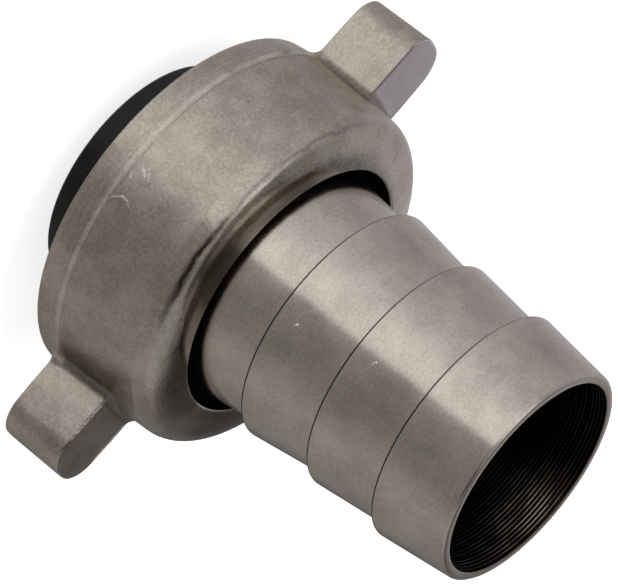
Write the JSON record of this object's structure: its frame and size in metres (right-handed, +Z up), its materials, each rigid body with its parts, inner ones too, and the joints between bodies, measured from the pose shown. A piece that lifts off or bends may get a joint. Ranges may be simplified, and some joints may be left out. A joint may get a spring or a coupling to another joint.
{
  "type": "swivel hose barb fitting",
  "caption": "Barbed metal hose tail with a loose swivelling union nut that has two lugs, and a tapered rubber seal in the nut's open end.",
  "frame": {"origin": "centre of the ring that the fitting stands on, at the tip of the seal", "axes": "+Z up along the common axis to the open mouth of the hose tail, X through the two lugs of the nut"},
  "size_m": [0.0708, 0.05, 0.066],
  "materials": {
    "turned_metal": "satin nickel plate over turned metal",
    "cast_metal": "satin nickel plate over a fine cast skin",
    "seal_rubber": "matte black moulded rubber"
  },
  "bodies": {
    "tail": {"hose_tail": "turned_metal", "cone_seal": "seal_rubber"},
    "nut": {"wing_nut": "cast_metal"}
  },
  "joints": [
    {"name": "nut_swivel", "type": "hinge", "parent": "tail", "child": "nut", "pos_m": [0, 0, 0.01695], "axis": [0, 0, 1], "continuous": true}
  ]
}
